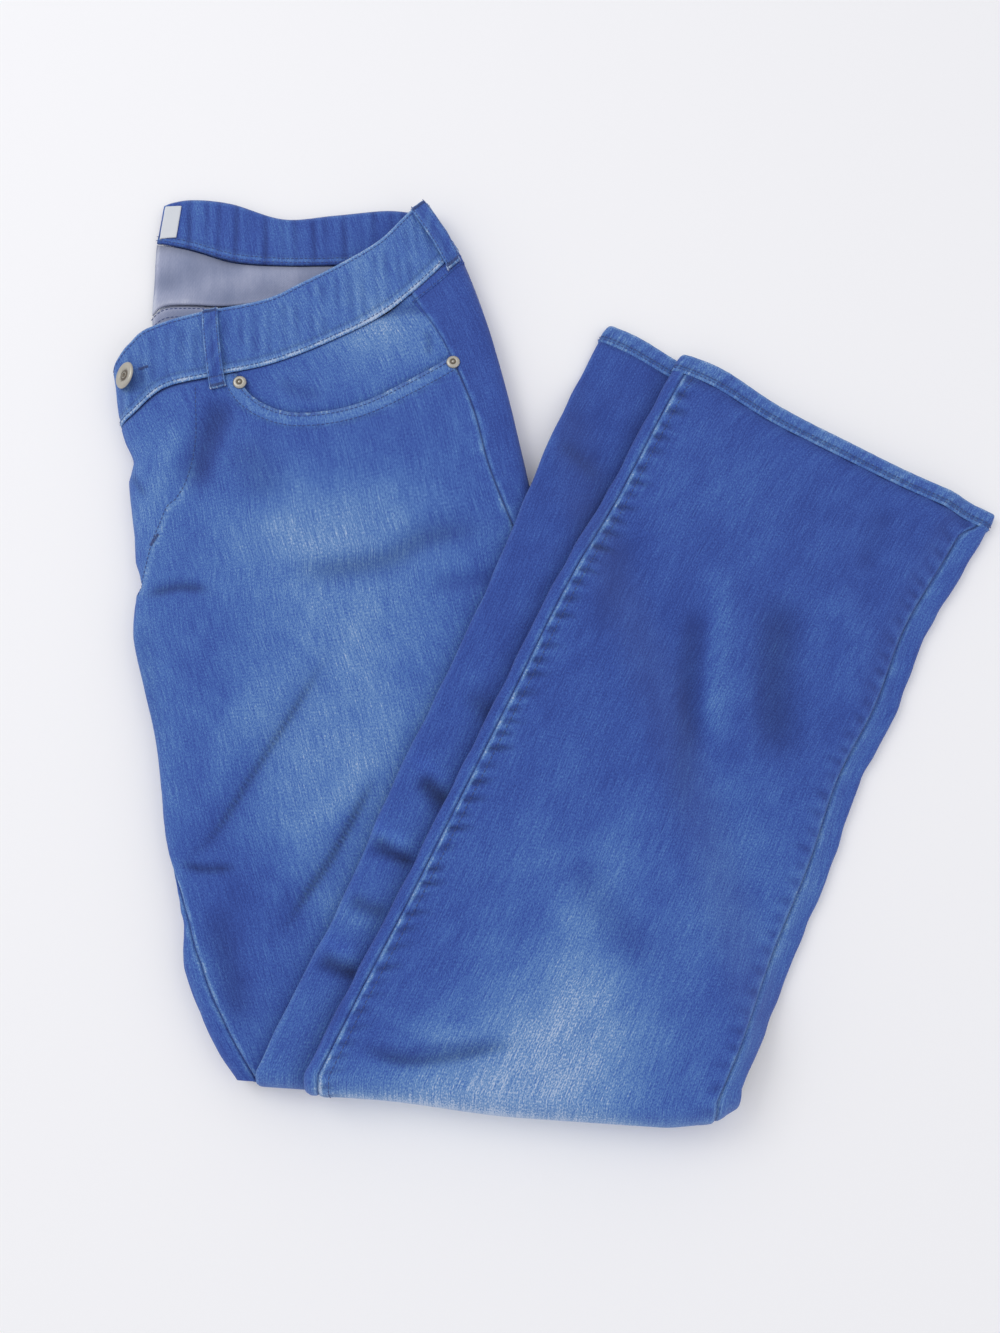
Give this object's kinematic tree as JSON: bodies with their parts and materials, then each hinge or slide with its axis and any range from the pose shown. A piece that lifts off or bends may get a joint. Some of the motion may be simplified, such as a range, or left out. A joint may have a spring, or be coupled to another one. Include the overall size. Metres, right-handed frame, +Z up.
{
  "type": "folded bootcut jeans",
  "caption": "Bootcut denim jeans folded in half along the centre seams, with both lower legs folded up at the knee and crossed out to one side.",
  "frame": {"origin": "middle of the folded garment's plan, on the surface it rests on", "axes": "+Z up from the resting surface, +Y from the knee folds towards the waist, +X from the centre front fold towards the hems"},
  "size_m": [0.592, 0.6099, 0.031],
  "materials": {
    "denim": "washed mid-blue twill",
    "faded_denim": "faded blue twill",
    "denim_wrong_side": "pale wrong side of blue twill",
    "woven_label": "blank off-white woven tape",
    "pale_metal": "worn pale antique nickel"
  },
  "bodies": {
    "root": {"waistband_left": "denim", "left_front_thigh": "denim", "yoke_left_side": "denim", "left_back_side": "denim", "left_back_inseam": "denim", "waistband_right": "denim", "right_front_thigh": "denim", "right_back_side": "denim", "right_back_inseam": "denim", "waistband_right_back": "denim", "yoke_right_back": "denim", "right_back_waist": "denim", "left_back_shin": "denim", "left_front_shin": "denim", "right_back_shin": "denim", "right_front_shin": "denim", "left_back_knee": "denim", "right_front_knee": "denim", "hem_left": "denim", "hem_right": "denim", "belt_loop_front": "denim", "belt_loop_side": "denim", "waistband_left_back": "denim_wrong_side", "yoke_left_back": "denim_wrong_side", "left_back_waist": "denim_wrong_side", "hidden_layers": "denim_wrong_side", "pocket_facing": "faded_denim", "label": "woven_label", "button": "pale_metal", "rivet_inner": "pale_metal", "rivet_outer": "pale_metal"}
  },
  "joints": []
}
